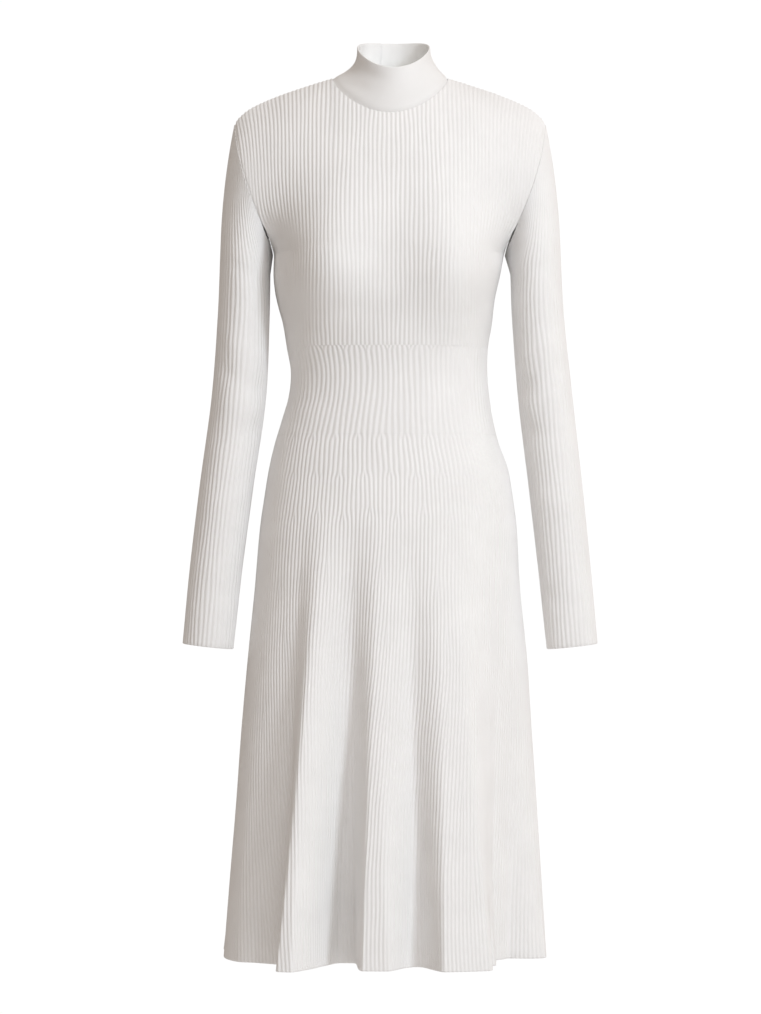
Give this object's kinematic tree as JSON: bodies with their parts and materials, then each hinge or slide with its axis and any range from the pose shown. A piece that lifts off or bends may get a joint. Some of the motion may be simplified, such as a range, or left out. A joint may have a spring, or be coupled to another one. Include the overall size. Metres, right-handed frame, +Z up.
{
  "type": "sweater dress",
  "caption": "Long-sleeved midi dress in rib knit with a mock neck, a snug waist and a flared skirt, filled out as worn.",
  "frame": {"origin": "middle of the neck's base, level with the high points of the shoulders", "axes": "+Z up, +X to the wearer's left, the front faces -Y"},
  "size_m": [0.5168, 0.3531, 1.1465],
  "materials": {
    "rib_knit": "ivory rib knit, matt",
    "plain_knit": "ivory fine plain knit, matt"
  },
  "bodies": {
    "root": {"collar": "plain_knit", "bodice_front": "rib_knit", "bodice_back": "rib_knit", "waist_front": "rib_knit", "waist_back": "rib_knit", "skirt_front": "rib_knit", "skirt_back": "rib_knit", "sleeve_left": "rib_knit", "sleeve_right": "rib_knit"}
  },
  "joints": []
}
